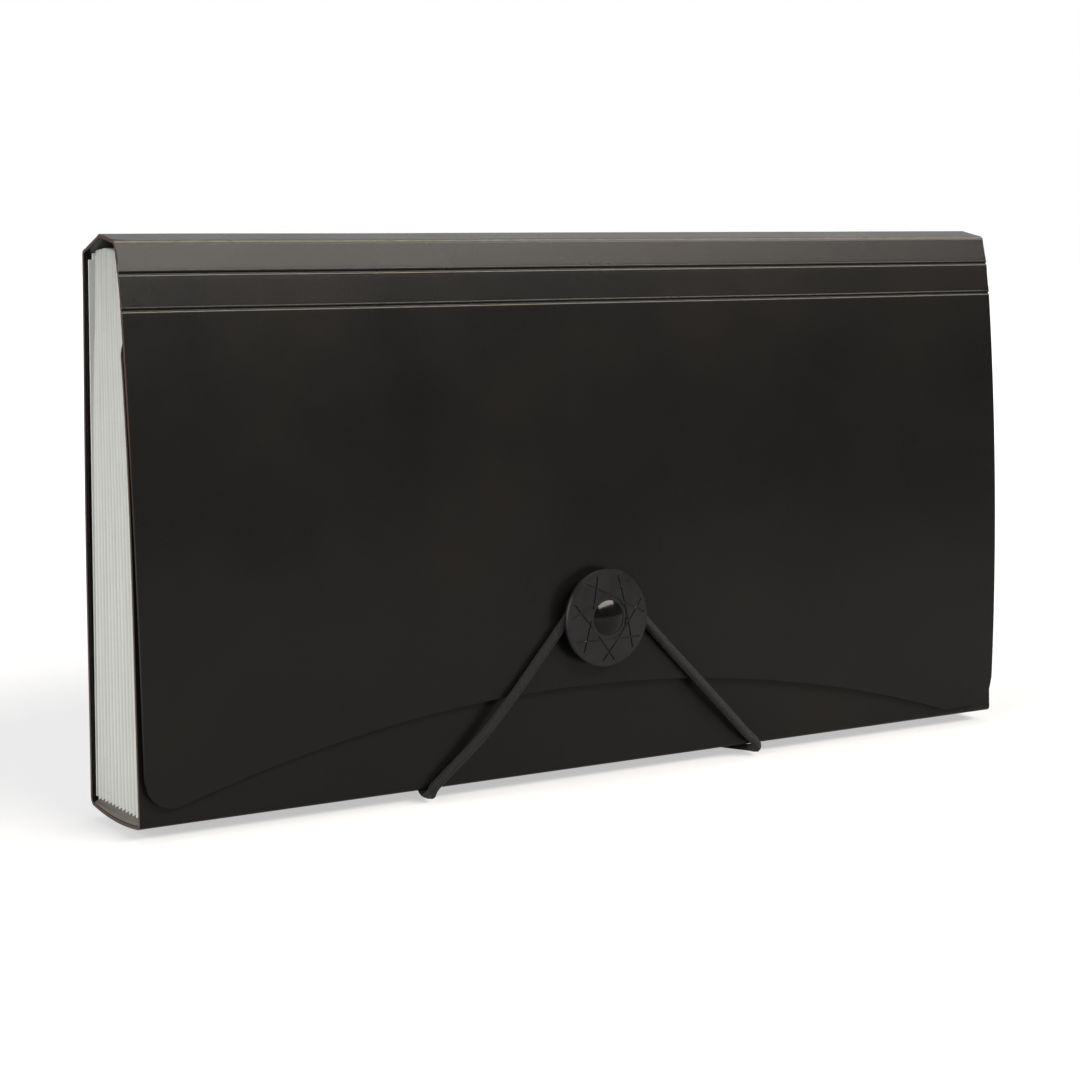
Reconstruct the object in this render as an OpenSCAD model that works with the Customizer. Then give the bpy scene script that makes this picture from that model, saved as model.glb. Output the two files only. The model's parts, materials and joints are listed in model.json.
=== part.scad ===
// Expanding coupon wallet: a folded plastic cover round thirteen pleated pockets,
// closed by a flap, a round button and a braided elastic.
// X runs along the width, the front faces -Y, and Z is up from the ground.

/* [Wallet] */
// Width of the wallet from end to end
body_w = 254; // [200:1:320]
// Height of the roof's ridge above the ground
body_h = 134.3; // [105:0.1:170]
// Depth at the foot, from the front bottom edge to the back face
body_d = 27.6; // [23:0.1:36]
// Thickness of the cover sheet
cover_t = 0.8; // [0.6:0.05:1]
// How far the spine bows down between its two edges
spine_bow = 1; // [0.4:0.1:2]
// Outer radius of the bend between the spine and the back
corner_r = 2; // [1.5:0.1:4]

/* [Top folds] */
// Clearance between the bead of a fold and the sheet that turns on it
fold_gap = 0.1; // [0.08:0.01:0.2]
// How far the ridge lies in front of the back face
ridge_in = 9.8; // [7:0.1:12]
// Drop from the ridge to the fold at the top of the back
back_drop = 4; // [3:0.1:6]
// How far the front fold lies behind the front bottom edge
front_fold_in = 9.8; // [8.5:0.1:11]
// Drop from the ridge to the front fold
front_drop = 1.4; // [1:0.1:3]
// How far the first crease lies behind the front bottom edge
crease_1_in = 7.9; // [6:0.1:9]
// Drop from the ridge to the first crease
crease_1_drop = 8.2; // [7:0.1:10]
// How far the second crease lies behind the front bottom edge
crease_2_in = 6.5; // [5:0.1:8]
// Drop from the ridge to the second crease
crease_2_drop = 16.1; // [14:0.1:20]

/* [Flap] */
// Bulge of the flap between its crease and its foot
flap_bulge = 1.9; // [0.5:0.1:3]
// How far the flap's foot stands in front of the front bottom edge
flap_out = 0.9; // [0.8:0.1:3]
// Radius of the hollow arc that cuts the flap's lower edge
arc_r = 361; // [250:1:600]
// Sideways place of the arc's middle
arc_x = -10; // [-20:1:20]
// Height of the arc's top above the ground
arc_rise = 23.8; // [15:0.1:30]
// Radius of the flap's lower corners
flap_corner = 8; // [4:0.5:15]

/* [Front cover] */
// Gap between the flap and the front cover at the second crease
front_clear = 0.5; // [0.3:0.05:1.2]
// How far the front cover ends below the second crease
front_short = 3; // [2:0.5:20]

/* [Button] */
// Sideways place of the button
button_x = -5; // [-20:0.5:20]
// Height of the button's middle above the ground
button_z = 41; // [35:0.5:60]
// Diameter of the button
button_d = 24; // [20:0.5:30]
// Thickness of the button at its rim
button_rim = 1.3; // [1:0.1:2]
// Rise of the button's dome
button_dome = 0.9; // [0.4:0.1:1.5]
// Width of the bevel round the button's rim
rim_bevel = 0.3; // [0.1:0.05:0.5]
// Diameter of the hub that the elastic goes round
hub_d = 12.4; // [11:0.1:13]
// Height of the hub, which is the room for the elastic
hub_h = 2.8; // [2.6:0.1:4]
// Diameter of the recess round the rivet
recess_d = 10.4; // [9.5:0.1:11]
// Depth of the recess
recess_depth = 0.5; // [0.3:0.1:0.8]
// Number of straight grooves in the button's star
star_n = 7; // [5:1:9]
// Width of a groove
groove_w = 0.4; // [0.3:0.05:0.6]
// Depth of a groove
groove_depth = 0.25; // [0.15:0.05:0.4]
// Share of its chord across the button that a groove covers
groove_share = 0.86; // [0.6:0.01:0.95]

/* [Rivet] */
// Diameter of the rivet's domed cap
cap_d = 8.8; // [8:0.1:9.4]
// Rise of the cap's dome
cap_rise = 1.1; // [0.8:0.1:1.6]
// Diameter of the stud that the button turns on
stud_d = 4.6; // [4:0.1:5]
// Running clearance round the stud
stud_gap = 0.08; // [0.03:0.01:0.1]
// Diameter of the stud's flange behind the flap
flange_d = 11; // [9:0.5:13]
// Thickness of the flange
flange_t = 0.6; // [0.4:0.1:0.8]
// Thickness of the backing washer
washer_t = 0.3; // [0.2:0.05:0.4]
// How far the washer reaches past the flange all round
washer_edge = 0.8; // [0.4:0.1:1.5]
// Diameter of the pin that joins the cap to the stud
pin_d = 2.2; // [1.8:0.1:2.6]
// Length of that pin
pin_l = 2.4; // [2:0.1:2.8]

/* [Elastic] */
// Diameter of the braided elastic
cord_d = 2.4; // [2:0.1:2.6]
// Distance between the elastic's two holes in the spine
anchor_span = 80; // [60:1:120]
// How far the holes lie from the back face
anchor_in = 6; // [5:0.5:9]
// Diameter of a hole
anchor_d = 3; // [2.8:0.1:3.6]
// Length of the barb crimped on each end
barb_l = 8; // [6:0.5:12]
// Width of a barb
barb_w = 2.4; // [1.8:0.1:3]
// Thickness of a barb
barb_t = 0.9; // [0.6:0.05:1]

/* [Pockets] */
// Number of pockets
pockets = 13; // [7:1:13]
// Thickness of the front and back sheets of the insert
insert_t = 0.4; // [0.3:0.05:0.6]
// Gap between the insert's sheets and the cover
insert_gap = 0.12; // [0.05:0.01:0.3]
// Thickness of a divider
divider_t = 0.35; // [0.25:0.05:0.4]
// Radius of the welded bead along a divider's foot
foot_r = 0.3; // [0.25:0.05:0.35]
// Thickness of the strip that joins the pockets' feet
base_t = 0.4; // [0.3:0.05:0.6]
// Drop from the ridge to the top edge of a divider
divider_drop = 15.5; // [12:0.5:30]
// Corner radius of a divider
divider_corner = 4; // [2:0.5:8]
// Height of an index tab
tab_h = 9; // [5:0.5:9]
// Width of an index tab at its foot
tab_w = 37; // [25:0.5:38]
// Slope of a tab's sides, as a run over its height
tab_slope = 3; // [1:0.5:6]
// Number of places across the width that the tabs take in turn
tab_places = 6; // [4:1:6]
// Thickness of a tab's paper label
label_t = 0.12; // [0.1:0.01:0.2]
// Margin between a label and the edge of its tab
label_margin = 1.2; // [0.8:0.1:2]

/* [Gusset] */
// Depth of a pleat from its outer fold to its inner fold
pleat_depth = 7.5; // [5:0.5:10]
// Thickness of the pleated film, measured along the width
film_run = 1.9; // [1.4:0.1:2.2]
// How far the outer folds lie inside the cover's ends
gusset_in = 1.4; // [0.5:0.1:4]
// Drop from the ridge to the top of the gusset
gusset_drop = 5.6; // [5:0.1:12]
// Clearance between a divider's end and the pleat that it lies in
pleat_gap = 0.08; // [0.05:0.01:0.12]

/* [Hidden] */
$fn = 96;
big_fn = 1440;
half_t = cover_t / 2;
fold_r = half_t + fold_gap;
// Clearance between faces of one body that seat on each other
seat = 0.02;

// The elastic passes under the spine and is pressed flat there by a tenth
cord_flat = cord_d / 10;
spine_low = cord_d - cord_flat + 2 * seat;
bow_half = (body_d - 1.6) / 2;
bow_r = (bow_half * bow_half + spine_bow * spine_bow) / (2 * spine_bow);

// Places in front of the back face, d, and heights, for the folds' middle lines
foot_z = spine_low + spine_bow;
ridge_z = body_h - half_t;
fold_back = [half_t, ridge_z - back_drop];
fold_ridge = [ridge_in, ridge_z];
fold_front = [body_d - front_fold_in, ridge_z - front_drop];
fold_crease_1 = [body_d - crease_1_in, ridge_z - crease_1_drop];
fold_crease_2 = [body_d - crease_2_in, ridge_z - crease_2_drop];
flap_foot = [body_d + flap_out, foot_z + 0.4];

// The flap's middle line is an arc from the second crease to its foot
flap_chord = flap_foot - fold_crease_2;
flap_len = norm(flap_chord);
flap_r = (flap_len * flap_len / 4 + flap_bulge * flap_bulge) / (2 * flap_bulge);
flap_in = [flap_chord[1], -flap_chord[0]] / flap_len;
flap_c = (flap_foot + fold_crease_2) / 2 + flap_in * (flap_r - flap_bulge);
function flap_d(z) = flap_c[0] + sqrt(flap_r * flap_r - (z - flap_c[1]) * (z - flap_c[1]));
arc_c = [arc_x, arc_rise - arc_r];
button_tilt = asin((button_z - flap_c[1]) / flap_r);

// The whole depth, with the button, is centred on the origin
button_high = hub_h + button_rim + button_dome - recess_depth + cap_rise;
total_d = flap_d(button_z) + (half_t + button_high) * cos(button_tilt);
back_y = total_d / 2;
function at(p) = [back_y - p[0], p[1]];

fold_foot_y = back_y - body_d + half_t;
bow_c = [back_y - body_d + bow_half, spine_low + bow_r];
fold_foot_dy = bow_c[0] - fold_foot_y;
bow_mid = bow_r - half_t;
fold_foot = [fold_foot_y, bow_c[1] - sqrt(bow_mid * bow_mid - fold_foot_dy * fold_foot_dy)];
corner_y = back_y - corner_r;
corner_dy = corner_y - bow_c[0];
corner_rise = sqrt((bow_r - corner_r) * (bow_r - corner_r) - corner_dy * corner_dy);
corner_c = [corner_y, bow_c[1] - corner_rise];
corner_turn = atan2(corner_dy, corner_rise);

crease_2 = at(fold_crease_2);
front_slope = (crease_2[0] + cover_t + front_clear - fold_foot[0]) / (crease_2[1] - fold_foot[1]);
front_lean = atan(front_slope);
front_top = crease_2[1] - front_short;
function front_y(z, behind) =
    fold_foot[0] + (z - fold_foot[1]) * front_slope + behind / cos(front_lean);

// The barbs lie on the spine, and the insert stands on a strip just above them
barb_dy = back_y - anchor_in + barb_w / 2 - bow_c[0];
barb_z = bow_c[1] - sqrt((bow_r - cover_t) * (bow_r - cover_t) - barb_dy * barb_dy) + seat;
base_z = barb_z + barb_t + 5 * seat;
pocket_z = base_z + base_t + 3 * seat + foot_r;
divider_top = ridge_z - divider_drop;
insert_back_y = back_y - cover_t - insert_gap - insert_t;
insert_mid = half_t + insert_gap + insert_t / 2;
insert_in = half_t + insert_gap + insert_t;
insert_top = ridge_z - gusset_drop - seat;
function pocket_y(k, z) = insert_back_y - k * (insert_back_y - front_y(z, insert_in)) / pockets;
base_in = 0.6;
divider_n = pockets - 1;
tip_x = body_w / 2 - gusset_in - film_run / 2;
function pitch_at(z) = (insert_back_y - front_y(z, insert_in)) / pockets;
pleat_pitch = pitch_at(pocket_z);
// Half the width that clears the pleats for a piece of a given thickness at a given height
function half_in_pleat(thick, z) =
    tip_x - film_run / 2 - pleat_depth * (thick + 2 * pleat_gap) / pitch_at(z) - pleat_gap;
divider_half = half_in_pleat(divider_t, divider_top);
gusset_top = ridge_z - gusset_drop;
tab_pitch = (2 * divider_half - tab_w - 2 * divider_corner) / (tab_places - 1);

button_y = back_y - flap_d(button_z);
dome_r = (button_d * button_d / 4 + button_dome * button_dome) / (2 * button_dome);
cap_r = (cap_d * cap_d / 4 + cap_rise * cap_rise) / (2 * cap_rise);
cap_z = half_t + hub_h + button_rim + button_dome - recess_depth;
// The washer is flat, so it seats on the hollow side of the flap by its rim
washer_d = flange_d + 2 * washer_edge;
washer_z = -half_t - washer_d * washer_d / (8 * flap_r) - 3 * seat - washer_t;

// The elastic's own route, from under the front bottom edge up and round the hub
loop_route = [
    [-52.5, -10.3, 1.8], [-52.5, -11.2, 2], [-52.5, -11.8, 2.7], [-52.3, -12.1, 3.6],
    [-50.5, -12.3, 5.4], [-46.5, -12.6, 8.8], [-42, -12.9, 12.6], [-37.7, -13.1, 16.6],
    [-33.7, -13.2, 20.8], [-29.2, -13.15, 25.6], [-24.6, -13, 30.8], [-20, -12.85, 36],
    [-16, -12.65, 40.4], [-13, -12.5, 43.8], [-10.8, -12.4, 46.1], [-8.3, -12.3, 48],
    [-5, -12.3, 48.7], [-1.9, -12.3, 48], [0.4, -12.4, 46.4], [3.6, -12.55, 43.4],
    [8, -12.75, 39], [13, -12.9, 34], [18, -13.05, 29], [23, -13.15, 24.1],
    [27.6, -13.2, 19.6], [32, -13, 15.3], [36.5, -12.8, 11], [40.6, -12.5, 7],
    [43.6, -12.2, 4.5], [44.7, -11.9, 3.2], [45, -11.6, 2.4], [45, -10.9, 1.9],
    [45, -10.3, 1.8]
];
left_route = [
    [-52.5, -10.3, 1.8], [-52.3, -9, 1.5], [-51.5, -6.6, 1.2], [-50, -3, 0.96],
    [-48.5, 1, 0.96], [-47, 5, 0.96], [-45.5, 8.9, 0.96], [-45, 10.2, 1.1],
    [-45, 10.8, 1.7], [-45, 10.9, 2.6], [-45, 10.9, 3.58]
];
right_route = [
    [45, -10.3, 1.8], [44.8, -9, 1.5], [43.5, -6.6, 1.2], [41.5, -3, 0.96],
    [39.5, 1, 0.96], [37.5, 5, 0.96], [35.6, 8.9, 0.96], [35, 10.2, 1.1],
    [35, 10.8, 1.7], [35, 10.9, 2.6], [35, 10.9, 3.58]
];

DIVIDERS = [for (k = [1:divider_n]) str("divider_", k < 10 ? "0" : "", k)];
LABELS = [for (k = [1:divider_n]) str("tab_label_", k < 10 ? "0" : "", k)];

// Extrudes a profile, drawn with depth across and height up, along the width
module along_x(width) {
    rotate([90, 0, 90]) linear_extrude(width, center = true) children();
}

// A strip of sheet between two folds, with a bead on the far one
module strip(from, to, start, bead) {
    along = (to - from) / norm(to - from);
    side = [-along[1], along[0]] * half_t;
    first = from + along * start;
    union() {
        polygon([first + side, first - side, to - side, to + side]);
        if (bead) translate(to) circle(half_t);
    }
}

// The part of a ring between two directions
module ring_part(centre, outer, wall, from, to, fn) {
    far = outer * 1.5;
    intersection() {
        translate(centre) difference() {
            circle(outer, $fn = fn);
            circle(outer - wall, $fn = fn);
        }
        translate(centre) polygon([
            [0, 0], far * [cos(from), sin(from)],
            far * [cos((from + to) / 2), sin((from + to) / 2)], far * [cos(to), sin(to)]
        ]);
    }
}

// Points along an arc, both ends included
function arc_points(centre, radius, from, to, n) =
    [for (i = [0:n]) let (a = from + (to - from) * i / n) centre + radius * [cos(a), sin(a)]];

// The middle of a lower corner's curve, which runs into the arc or, past it, into the foot
function corner_rises(side) =
    let (dx = side * (body_w / 2 - flap_corner) - arc_c[0], reach = arc_r + flap_corner)
    [arc_c[1] + sqrt(reach * reach - dx * dx), flap_foot[1] + flap_corner];
function corner_mid(side) = [side * (body_w / 2 - flap_corner), max(corner_rises(side))];
function on_arc(side) = corner_rises(side)[0] > corner_rises(side)[1];
function turn_of(v) = (atan2(v[1], v[0]) + 360) % 360;
function corner_end(side) = on_arc(side) ? turn_of(arc_c - corner_mid(side)) : 270;
function arc_end(side) =
    let (dip = asin((flap_foot[1] - arc_c[1]) / arc_r))
    on_arc(side) ? turn_of(corner_mid(side) - arc_c) : side > 0 ? dip : 180 - dip;

// The flap seen from the front: straight ends, rounded corners and a hollow lower edge
module flap_outline() {
    polygon(concat(
        arc_points(corner_mid(-1), flap_corner, 180, corner_end(-1), 9),
        arc_points(arc_c, arc_r, arc_end(-1), arc_end(1), 40),
        arc_points(corner_mid(1), flap_corner, corner_end(1), 360, 9),
        [[body_w / 2, body_h], [-body_w / 2, body_h]]
    ));
}

// Places its children on the flap's middle line at the button, facing outwards
module on_flap() {
    translate([button_x, button_y, button_z]) rotate([90 - button_tilt, 0, 0]) children();
}

function unit(v) = v / norm(v);

// The rings of a round cord along its route, turned as little as possible
function cord_rings(route, first, last, side) =
    let (
        n = len(route),
        run = [for (i = [0:n - 1])
            i == 0 ? first : i == n - 1 ? last : unit(route[i + 1] - route[i - 1])]
    )
    [for (i = 0, u = side; i < n;
            u = i < n - 1 ? unit(u - (u * run[i + 1]) * run[i + 1]) : u, i = i + 1)
        [for (k = [0:7]) let (w = cross(run[i], u), a = 22.5 + k * 45)
            route[i] + cord_d / 2 * (cos(a) * u + sin(a) * w)]];

// A cord of eight sides with flat ends
module cord(route, first, last, side) {
    rings = cord_rings(route, first, last, side);
    n = len(rings);
    points = [for (ring = rings) each ring];
    end = (n - 1) * 8;
    walls = [for (i = [0:n - 2], k = [0:7]) let (a = i * 8 + k, b = i * 8 + (k + 1) % 8)
        each [[a, b + 8, b], [a, a + 8, b + 8]]];
    caps = [for (k = [1:6]) each [[0, k, k + 1], [end, end + k + 1, end + k]]];
    polyhedron(points, concat(walls, caps));
}

module back_cover() {
    color("#1c1c1d") along_x(body_w)
        strip([back_y - half_t, corner_c[1]], at(fold_back), 0, true);
}

module spine_panel() {
    front_turn = asin(fold_foot_dy / bow_mid);
    color("#1c1c1d") difference() {
        along_x(body_w) union() {
            ring_part(bow_c, bow_r, cover_t, 270 - front_turn, 270 + corner_turn, big_fn);
            ring_part(corner_c, corner_r, cover_t, 270 + corner_turn, 360, $fn);
            translate(fold_foot) circle(half_t);
        }
        for (side = [-1, 1])
            translate([button_x + side * anchor_span / 2, back_y - anchor_in, 0])
                cylinder(h = 10, d = anchor_d);
    }
}

module front_cover() {
    color("#141415") along_x(body_w)
        strip(fold_foot, [front_y(front_top, 0), front_top], fold_r, false);
}

module roof_bevel() {
    color("#333333") along_x(body_w) strip(at(fold_back), at(fold_ridge), fold_r, true);
}

module roof_panel() {
    color("#3a3937") along_x(body_w) strip(at(fold_ridge), at(fold_front), fold_r, true);
}

module band_upper() {
    color("#4a4541") along_x(body_w) strip(at(fold_front), at(fold_crease_1), fold_r, true);
}

module band_lower() {
    color("#332e2b") along_x(body_w)
        strip(at(fold_crease_1), at(fold_crease_2), fold_r, true);
}

module flap_panel() {
    fold_turn = 180 - asin((fold_crease_2[1] - flap_c[1]) / flap_r);
    top_turn = fold_turn + asin(fold_r / flap_r);
    foot_turn = 180 - asin((flap_foot[1] - flap_c[1]) / flap_r);
    color("#202020") difference() {
        intersection() {
            along_x(body_w)
                ring_part(at(flap_c), flap_r + half_t, cover_t, top_turn, foot_turn, big_fn * 2);
            rotate([90, 0, 0]) linear_extrude(body_d * 3, center = true) flap_outline();
        }
        on_flap() cylinder(h = 4, d = stud_d + 2 * stud_gap, center = true);
    }
}

// Half of the button's rim, bevelled above and below, and open to the dome above it
module rim_outline() {
    rim = button_d / 2;
    high = hub_h + button_rim - rim_bevel;
    over = 2 * button_dome;
    polygon([
        [0, hub_h], [rim - rim_bevel, hub_h], [rim, hub_h + rim_bevel], [rim, high],
        [rim - over, high + over], [0, high + over]
    ]);
}

// The domed button, its hub, and a star of straight grooves that touch the recess
module button_disc() {
    top = hub_h + button_rim + button_dome;
    ring_r = recess_d / 2;
    groove_l = 2 * groove_share * sqrt(button_d * button_d / 4 - ring_r * ring_r);
    groove_r = sqrt(dome_r * dome_r - ring_r * ring_r) - groove_depth;
    color("#26282a") on_flap() translate([0, 0, half_t]) difference() {
        rotate_extrude() union() {
            intersection() {
                rim_outline();
                translate([0, top - dome_r]) circle(dome_r, $fn = big_fn);
            }
            translate([0, seat]) square([hub_d / 2, hub_h]);
        }
        cylinder(h = 20, d = stud_d + 2 * stud_gap, center = true);
        translate([0, 0, top - recess_depth]) cylinder(h = 5, d = recess_d);
        for (i = [0:star_n - 1])
            rotate([0, 0, -90 + i * 360 / star_n]) translate([ring_r, 0, top - dome_r])
                along_x(groove_w) difference() {
                    translate([-groove_l / 2, 0]) square([groove_l, dome_r + 1]);
                    circle(groove_r, $fn = big_fn);
                }
    }
}

module rivet_cap() {
    color("#0e0e0f") on_flap() rotate_extrude() union() {
        intersection() {
            translate([0, cap_z + seat]) square([cap_d / 2, cap_rise]);
            translate([0, cap_z + cap_rise - cap_r]) circle(cap_r, $fn = 360);
        }
        translate([0, cap_z - pin_l]) square([pin_d / 2, pin_l + 2 * seat]);
    }
}

module rivet_stud() {
    color("#0e0e0f") on_flap() difference() {
        rotate_extrude() union() {
            translate([0, washer_z - seat - flange_t]) square([flange_d / 2, flange_t]);
            translate([0, washer_z - flange_t]) square([stud_d / 2, cap_z - washer_z + flange_t]);
        }
        translate([0, 0, cap_z - pin_l - seat]) cylinder(h = 2 * pin_l, d = pin_d + 2 * seat);
    }
}

module backing_washer() {
    color("#d9dbd8") on_flap() translate([0, 0, washer_z]) difference() {
        cylinder(h = washer_t, d = washer_d);
        translate([0, 0, -1]) cylinder(h = 3, d = stud_d + 2 * stud_gap);
    }
}

module elastic_loop() {
    color("#161618") cord(loop_route, [0, -1, 0], [0, 1, 0], [1, 0, 0]);
}

// One run of the elastic under the spine, pressed flat where the wallet stands on it
module elastic_run(route) {
    color("#161618") difference() {
        cord(route, [0, 1, 0], [0, 0, 1], [1, 0, 0]);
        translate([-body_w / 2, -body_d, -5]) cube([body_w, 2 * body_d, 5]);
    }
}

module elastic_run_left() {
    elastic_run(left_route);
}

module elastic_run_right() {
    elastic_run(right_route);
}

// A crimped barb lying across its hole, inside the spine
module elastic_barb(side) {
    half_l = (barb_l - barb_w) / 2;
    color("#8d9092") translate([button_x + side * anchor_span / 2, back_y - anchor_in, barb_z])
        linear_extrude(barb_t) union() {
            square([2 * half_l, barb_w], center = true);
            for (end = [-1, 1]) translate([end * half_l, 0]) circle(barb_w / 2);
        }
}

module elastic_barb_left() {
    elastic_barb(-1);
}

module elastic_barb_right() {
    elastic_barb(1);
}

module insert_back() {
    foot = corner_c[1] + 5 * seat;
    color("#c9ccc8") translate([-body_w / 2 + 1, insert_back_y, foot])
        cube([body_w - 2, insert_t, insert_top - foot]);
}

module insert_front() {
    foot = pocket_z - foot_r;
    top = crease_2[1] + tab_h / 2;
    color("#c9ccc8") along_x(body_w - 2) polygon([
        for (p = [[foot, -1], [top, -1], [top, 1], [foot, 1]])
            [front_y(p[0], insert_mid + p[1] * insert_t / 2), p[0]]
    ]);
}

// The welded strip that joins the pockets' feet
module pocket_base() {
    front = front_y(base_z, insert_in) + base_in;
    color("#c9ccc8") translate([-tip_x, front, base_z])
        cube([2 * tip_x, corner_c[0] + base_in - front, base_t]);
}

// The gusset at one end: a zigzag film that narrows upwards with the pockets
module gusset(side) {
    top_share = pitch_at(gusset_top) / pleat_pitch;
    film = 0.05;
    folds = [for (k = [0:2 * pockets])
        [tip_x - (k % 2) * pleat_depth,
            k == 0 ? -film : k == 2 * pockets ? film - pockets * pleat_pitch : -k * pleat_pitch / 2]];
    color([0.82, 0.83, 0.81, 0.7]) translate([0, insert_back_y, pocket_z - foot_r])
        linear_extrude(gusset_top - pocket_z + foot_r, scale = [1, top_share], slices = 1)
            polygon([
                for (p = folds) [side * (p[0] + film_run / 2), p[1]],
                for (i = [2 * pockets:-1:0]) [side * (folds[i][0] - film_run / 2), folds[i][1]]
            ]);
}

module gusset_left() {
    gusset(-1);
}

module gusset_right() {
    gusset(1);
}

// Places its children in a divider's own plane, standing on its foot
module on_divider(k) {
    foot = pocket_y(k, pocket_z);
    lean = atan((pocket_y(k, divider_top) - foot) / (divider_top - pocket_z));
    translate([0, foot, pocket_z]) rotate([90 - lean, 0, 0]) children();
}

function tab_x(k) = -tab_pitch * (tab_places - 1) / 2 + ((k - 1) % tab_places) * tab_pitch;

// A divider's outline with its rounded corners and its index tab
module divider_outline(k) {
    high = divider_top - pocket_z;
    square_h = high - divider_corner;
    union() {
        translate([-divider_half, 0]) square([2 * divider_half, square_h]);
        translate([-divider_half + divider_corner, 0])
            square([2 * (divider_half - divider_corner), high]);
        for (end = [-1, 1])
            translate([end * (divider_half - divider_corner), square_h]) circle(divider_corner);
        translate([tab_x(k), high]) polygon([
            [-tab_w / 2, -1], [tab_w / 2, -1], [tab_w / 2 - tab_slope, tab_h],
            [-tab_w / 2 + tab_slope, tab_h]
        ]);
    }
}

module divider(k) {
    color("#d4d6d2") on_divider(k) union() {
        linear_extrude(divider_t, center = true) divider_outline(k);
        rotate([0, 90, 0])
            cylinder(h = 2 * half_in_pleat(2 * foot_r, pocket_z), r = foot_r, center = true);
    }
}

module tab_label(k) {
    half_w = tab_w / 2 - tab_slope - label_margin;
    color("#f2f1ec") on_divider(k)
        translate([tab_x(k) - half_w, divider_top - pocket_z + label_margin / 2, divider_t / 2])
            cube([2 * half_w, tab_h - 1.5 * label_margin, label_t]);
}

back_cover();
spine_panel();
front_cover();
roof_bevel();
roof_panel();
band_upper();
band_lower();
flap_panel();
button_disc();
rivet_cap();
rivet_stud();
backing_washer();
elastic_loop();
elastic_run_left();
elastic_run_right();
elastic_barb_left();
elastic_barb_right();
insert_back();
insert_front();
pocket_base();
gusset_left();
gusset_right();
for (k = [1:divider_n]) {
    divider(k);
    tab_label(k);
}
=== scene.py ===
"""Looks of the expanding coupon wallet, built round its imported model."""

import json
import logging
import math
from dataclasses import dataclass
from enum import Enum
from typing import Callable, Iterable, Optional, Sequence, Union

import bmesh
import bpy
from mathutils import Matrix, Vector, noise

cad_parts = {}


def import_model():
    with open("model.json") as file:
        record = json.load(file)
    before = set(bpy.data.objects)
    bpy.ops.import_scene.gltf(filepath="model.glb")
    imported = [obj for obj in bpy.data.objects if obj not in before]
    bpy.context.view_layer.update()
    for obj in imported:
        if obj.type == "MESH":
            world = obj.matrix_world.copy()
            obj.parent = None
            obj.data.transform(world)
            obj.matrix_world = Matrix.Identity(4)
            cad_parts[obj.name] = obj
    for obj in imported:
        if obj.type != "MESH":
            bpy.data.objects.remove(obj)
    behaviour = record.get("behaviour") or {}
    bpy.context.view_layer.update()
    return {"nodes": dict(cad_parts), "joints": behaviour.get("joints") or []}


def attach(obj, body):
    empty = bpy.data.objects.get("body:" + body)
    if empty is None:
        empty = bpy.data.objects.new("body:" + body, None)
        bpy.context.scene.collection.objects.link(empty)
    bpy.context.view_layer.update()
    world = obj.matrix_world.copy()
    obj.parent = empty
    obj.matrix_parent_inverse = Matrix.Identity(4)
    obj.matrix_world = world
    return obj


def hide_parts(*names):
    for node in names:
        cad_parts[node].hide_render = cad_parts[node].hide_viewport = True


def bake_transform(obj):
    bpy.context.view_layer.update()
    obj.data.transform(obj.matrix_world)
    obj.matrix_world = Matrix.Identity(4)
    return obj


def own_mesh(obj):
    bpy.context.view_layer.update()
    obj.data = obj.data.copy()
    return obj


LOG = logging.getLogger("wallet")
MM = 0.001
NEAR = 0.01 * MM
Point = tuple[float, float]
Place = tuple[float, float, float]
Shape = bmesh.types.BMesh
Tree = bpy.types.NodeTree
Socket = bpy.types.NodeSocket
Material = bpy.types.Material
Feed = Union[float, tuple, Socket]


class Side(Enum):
    """An end of the wallet, seen from the front."""

    LEFT = -1
    RIGHT = 1


def srgb(code: str) -> Place:
    """Turns a hex colour into linear red, green and blue."""
    parts = [int(code[i : i + 2], 16) / 255 for i in (0, 2, 4)]
    return tuple(c / 12.92 if c <= 0.04045 else ((c + 0.055) / 1.055) ** 2.4 for c in parts)


# ---- shader helpers


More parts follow.
